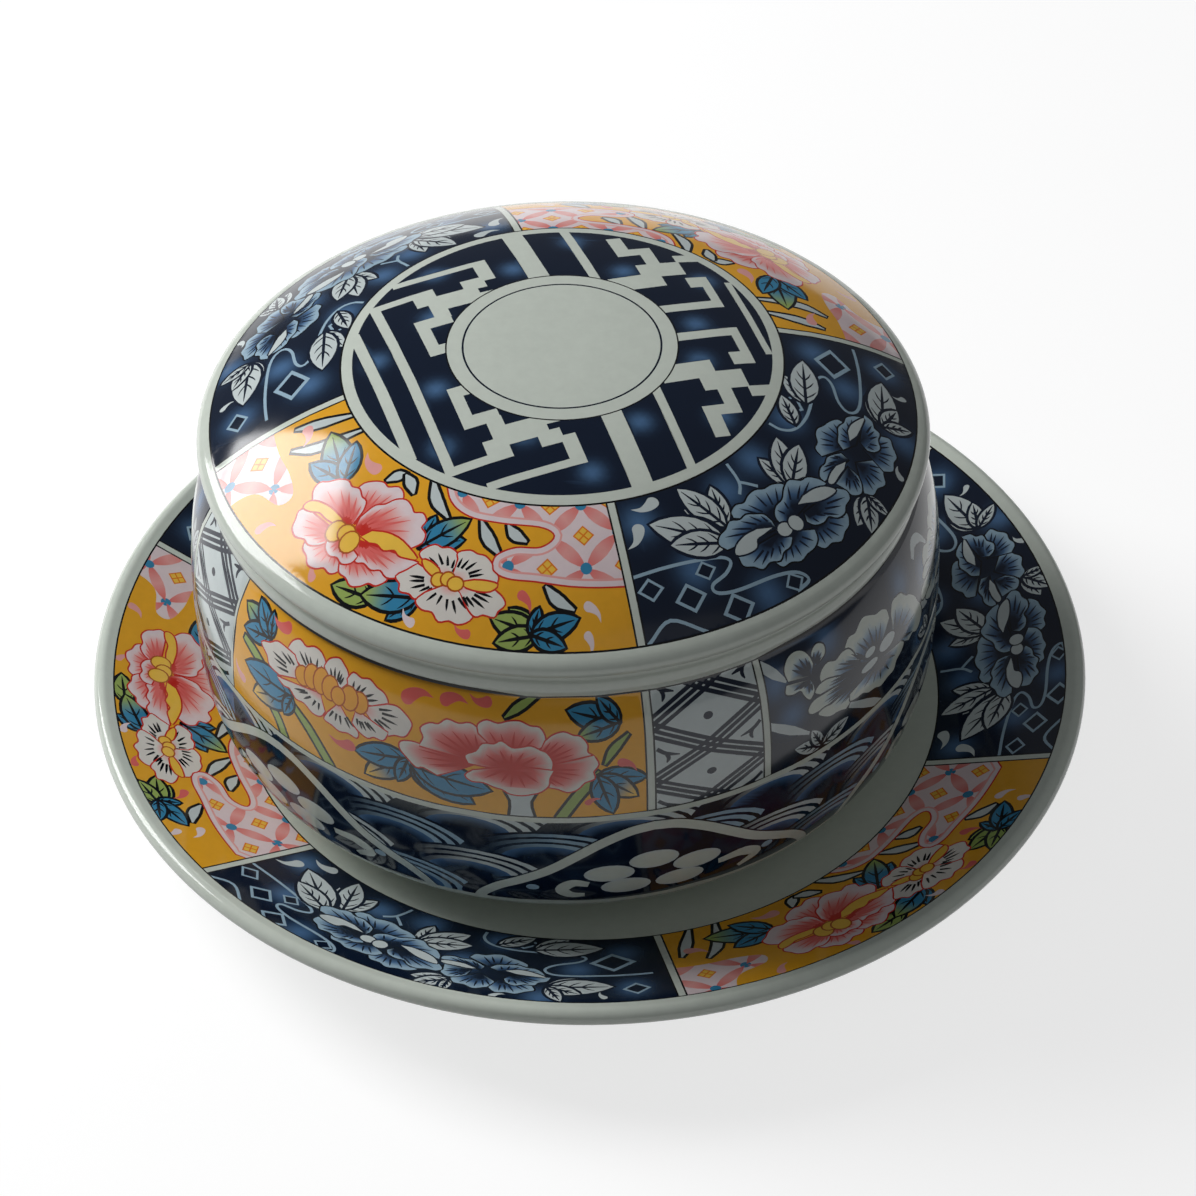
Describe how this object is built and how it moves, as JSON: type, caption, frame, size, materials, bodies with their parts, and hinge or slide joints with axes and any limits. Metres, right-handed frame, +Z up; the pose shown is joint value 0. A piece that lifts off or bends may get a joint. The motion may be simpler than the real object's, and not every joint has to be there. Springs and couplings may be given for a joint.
{
  "type": "lidded soup tureen",
  "caption": "Round porcelain soup tureen: a full-bellied bowl with a low domed lid that lifts off, standing on a wide underplate.",
  "frame": {"origin": "on the surface that the underplate's foot ring stands on, on the underplate's axis", "axes": "+Z up along the axis of revolution; -Y is the side that the picture shows; the bowl stands 4.6 mm towards -X of the underplate's axis"},
  "size_m": [0.205, 0.205, 0.1012],
  "materials": {
    "glazed_porcelain": "glossy clear glaze over pale celadon-white porcelain, with underglaze blue and overglaze enamel painting"
  },
  "bodies": {
    "underplate": {"underplate": "glazed_porcelain"},
    "bowl": {"bowl": "glazed_porcelain"},
    "lid": {"lid": "glazed_porcelain"}
  },
  "joints": [
    {"name": "bowl_lift", "type": "slide", "parent": "underplate", "child": "bowl", "axis": [0, 0, 1], "range_m": [0, 0.1]},
    {"name": "lid_lift", "type": "slide", "parent": "bowl", "child": "lid", "axis": [0, 0, 1], "range_m": [0, 0.1]}
  ]
}
